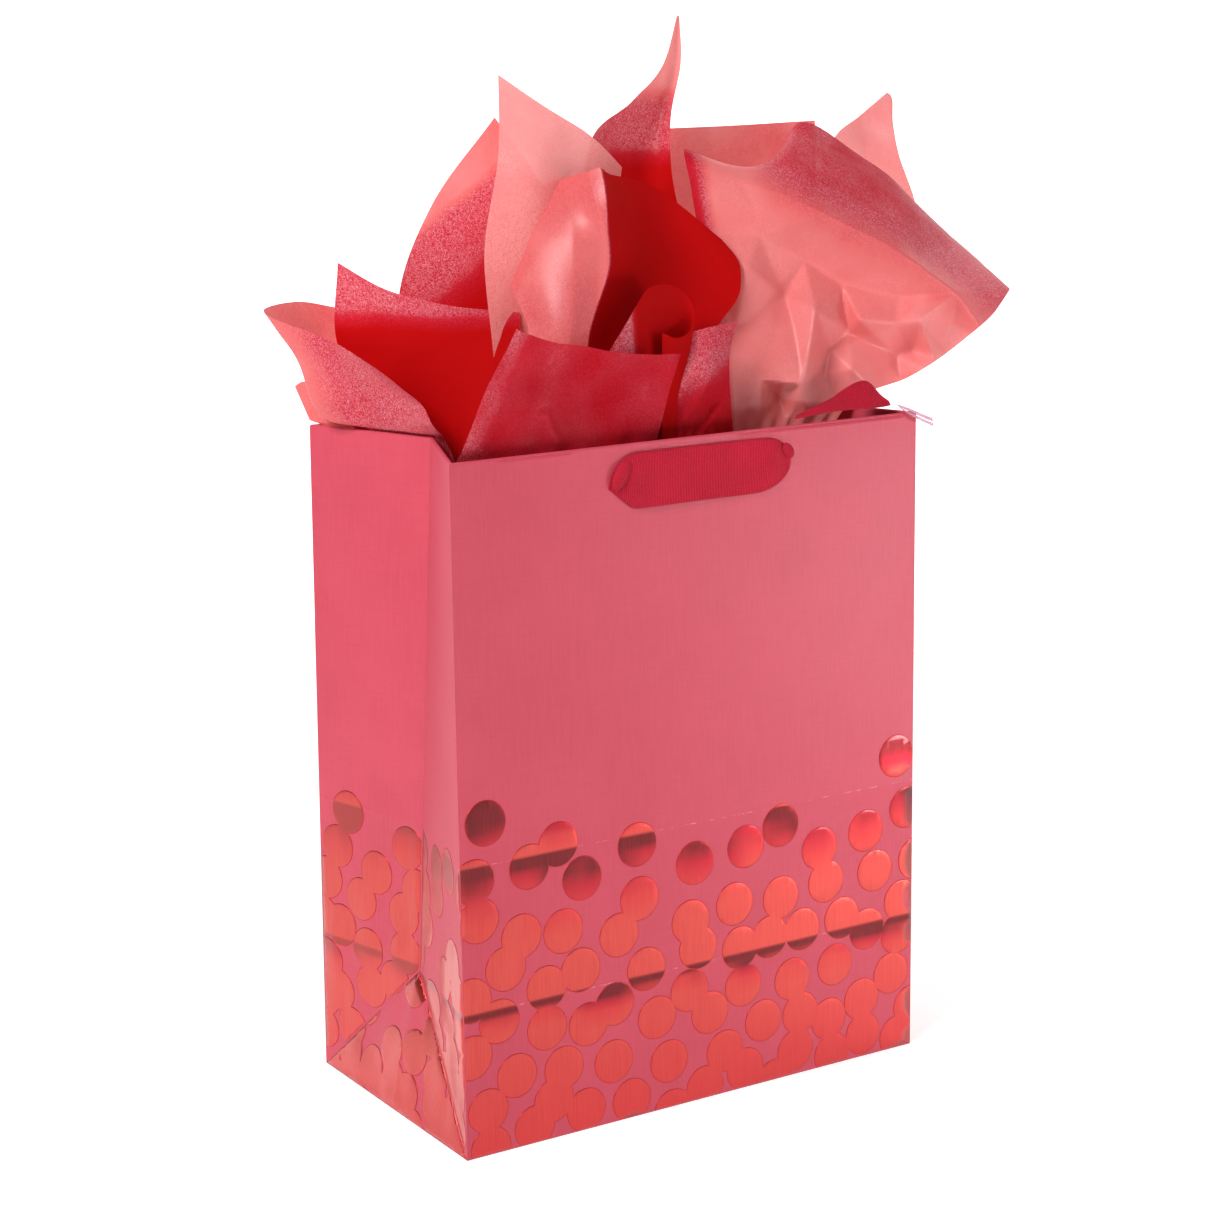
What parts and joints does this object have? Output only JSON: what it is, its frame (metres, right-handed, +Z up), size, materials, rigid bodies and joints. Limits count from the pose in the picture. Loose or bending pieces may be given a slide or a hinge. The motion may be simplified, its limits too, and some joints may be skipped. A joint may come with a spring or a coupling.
{
  "type": "paper gift bag with ribbon handles and tissue paper",
  "caption": "Gusseted paper gift bag with a card-stiffened rim, ribbon loop handles, foil dot print and a bouquet of tissue paper.",
  "frame": {"origin": "centre of the base, on the surface that the bag stands on", "axes": "+Z up, +X to the right when facing the back panel, +Y from the back panel to the front panel"},
  "size_m": [0.3824, 0.1714, 0.5221],
  "materials": {
    "wrapper_paper": "matte coral-rose coated paper printed with metallic red foil dots",
    "inner_paper": "uncoated inner face of the same sheet",
    "card_board": "grey recycled board",
    "ribbon": "red grosgrain ribbon with cross ribs",
    "clear_plastic": "thin clear plastic sleeve",
    "tissue_paper": "thin translucent red tissue"
  },
  "bodies": {
    "bag": {"back_panel": "wrapper_paper", "front_panel": "wrapper_paper", "left_gusset_back_half": "wrapper_paper", "left_gusset_front_half": "wrapper_paper", "left_gusset_foot": "wrapper_paper", "right_gusset_back_half": "wrapper_paper", "right_gusset_front_half": "wrapper_paper", "right_gusset_foot": "wrapper_paper", "bottom_flap_back": "wrapper_paper", "bottom_flap_front": "wrapper_paper", "bottom_end_flap_left": "wrapper_paper", "bottom_end_flap_right": "wrapper_paper", "back_top_hem": "inner_paper", "front_top_hem": "inner_paper", "left_gusset_back_hem": "inner_paper", "left_gusset_front_hem": "inner_paper", "right_gusset_back_hem": "inner_paper", "right_gusset_front_hem": "inner_paper", "side_glue_flap": "inner_paper", "back_card_strip": "card_board", "front_card_strip": "card_board", "base_board": "card_board", "back_handle_span": "ribbon", "back_handle_left_leg": "ribbon", "back_handle_right_leg": "ribbon", "back_handle_inner_run": "ribbon", "front_handle_span": "ribbon", "front_handle_left_leg": "ribbon", "front_handle_right_leg": "ribbon", "back_handle_crimp": "clear_plastic"},
    "tissue": {"tissue_front_petal": "tissue_paper", "tissue_front_small_petal": "tissue_paper", "tissue_front_roll": "tissue_paper", "tissue_centre_petal": "tissue_paper", "tissue_right_petal": "tissue_paper", "tissue_left_petal": "tissue_paper", "tissue_left_inner_petal": "tissue_paper", "tissue_left_tall_petal": "tissue_paper", "tissue_tall_petal_left": "tissue_paper", "tissue_tall_petal_right": "tissue_paper", "tissue_back_petal": "tissue_paper", "tissue_right_back_petal": "tissue_paper", "tissue_far_left_petal": "tissue_paper"},
    "back_handle": {"back_handle_loop": "ribbon"},
    "front_handle": {"front_handle_left_strap": "ribbon", "front_handle_right_strap": "ribbon", "front_handle_crimp": "clear_plastic"}
  },
  "joints": [
    {"name": "tissue_lift", "type": "slide", "parent": "bag", "child": "tissue", "axis": [0, 0, 1], "range_m": [0, 0.2]},
    {"name": "back_handle_flip", "type": "hinge", "parent": "bag", "child": "back_handle", "pos_m": [0, -0.0685, 0.3325], "axis": [1, 0, 0], "range_deg": [0, 185]},
    {"name": "front_handle_swing", "type": "hinge", "parent": "bag", "child": "front_handle", "pos_m": [0, 0.07, 0.3325], "axis": [1, 0, 0], "range_deg": [0, 175]}
  ]
}
